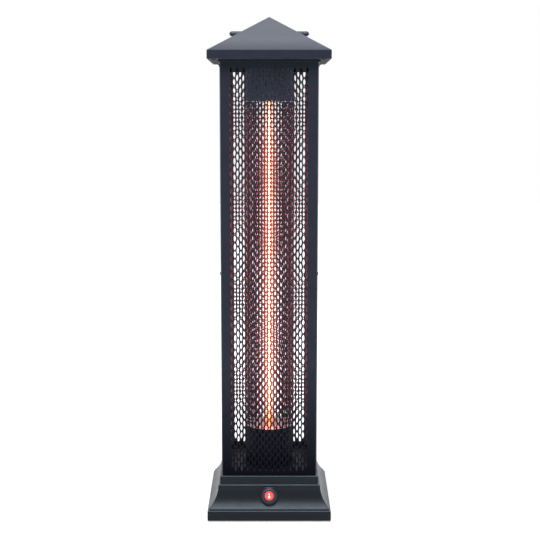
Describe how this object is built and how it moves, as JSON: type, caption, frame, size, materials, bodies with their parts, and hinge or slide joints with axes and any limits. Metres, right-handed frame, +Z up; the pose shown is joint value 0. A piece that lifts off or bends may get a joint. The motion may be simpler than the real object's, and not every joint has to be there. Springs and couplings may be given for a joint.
{
  "type": "lantern patio heater",
  "caption": "Free-standing electric patio heater shaped like a tall square lantern, with a perforated column, a vertical lamp, a pyramid roof and a flared foot.",
  "frame": {"origin": "centre of the surface that the feet stand on", "axes": "+Z up, the power button faces -Y, +X to the right seen from the front"},
  "size_m": [0.23, 0.23, 0.933],
  "materials": {
    "foot_moulding": "satin moulded plastic",
    "black_sheet": "fine satin powder coat",
    "lamp_drum": "satin heat-proof paint",
    "plate_steel": "plain dark coat",
    "zinc_steel": "zinc plated",
    "black_screws": "blackened",
    "black_rubber": "matt",
    "bezel_plastic": "semi-gloss",
    "button_plastic": "satin",
    "red_lens": "lit from behind",
    "dark_nylon": "moulded",
    "pale_nylon": "moulded",
    "reflector_metal": "bright",
    "quartz": "clear, hot",
    "hot_filament": "glowing",
    "lamp_ceramic": "white",
    "grip_plastic": "fine grain"
  },
  "bodies": {
    "heater": {"base_housing": "foot_moulding", "base_plate": "plate_steel", "base_screws": "zinc_steel", "ballast_plate": "plate_steel", "ballast_screws": "zinc_steel", "rubber_feet": "black_rubber", "foot_screws": "zinc_steel", "foot_nuts": "zinc_steel", "button_gasket": "black_rubber", "button_bezel": "bezel_plastic", "button_nut": "dark_nylon", "contact_block": "dark_nylon", "cord_gland": "dark_nylon", "gland_bung": "black_rubber", "gland_nut": "dark_nylon", "tip_switch_body": "dark_nylon", "terminal_block": "pale_nylon", "column_floor": "black_sheet", "floor_screws": "black_screws", "wire_grommet": "black_rubber", "front_panel": "black_sheet", "back_panel": "black_sheet", "right_panel": "black_sheet", "left_panel": "black_sheet", "panel_screws": "black_screws", "column_top_plate": "black_sheet", "lead_conduit": "zinc_steel", "lower_drum": "lamp_drum", "upper_drum": "lamp_drum", "drum_screws": "zinc_steel", "lower_reflector": "reflector_metal", "upper_reflector": "reflector_metal", "inner_guard": "lamp_drum", "lamp_tube": "quartz", "lamp_filament": "hot_filament", "lower_lamp_cap": "lamp_ceramic", "upper_lamp_cap": "lamp_ceramic", "lower_lamp_bracket": "zinc_steel", "upper_lamp_bracket": "zinc_steel", "thermal_cutout": "zinc_steel", "top_collar": "black_sheet", "roof_soffit": "black_sheet", "roof_cap": "black_sheet", "roof_posts": "zinc_steel", "soffit_screws": "zinc_steel", "shield_spacers": "zinc_steel", "heat_shield": "plate_steel", "roof_bolts": "zinc_steel", "roof_nuts": "zinc_steel", "handle_posts": "black_sheet", "handle_grip": "grip_plastic", "handle_screws": "zinc_steel"},
    "button": {"power_button": "button_plastic", "button_lens": "red_lens"},
    "plunger": {"tip_plunger": "dark_nylon"}
  },
  "joints": [
    {"name": "button_press", "type": "slide", "parent": "heater", "child": "button", "axis": [0, 0.9396, -0.3422], "range_m": [0, 0.002], "stiffness_N_per_m": 400, "springref_m": -0.001},
    {"name": "plunger_drop", "type": "slide", "parent": "heater", "child": "plunger", "axis": [0, 0, -1], "range_m": [0, 0.005], "stiffness_N_per_m": 30, "springref_m": 0.007}
  ]
}
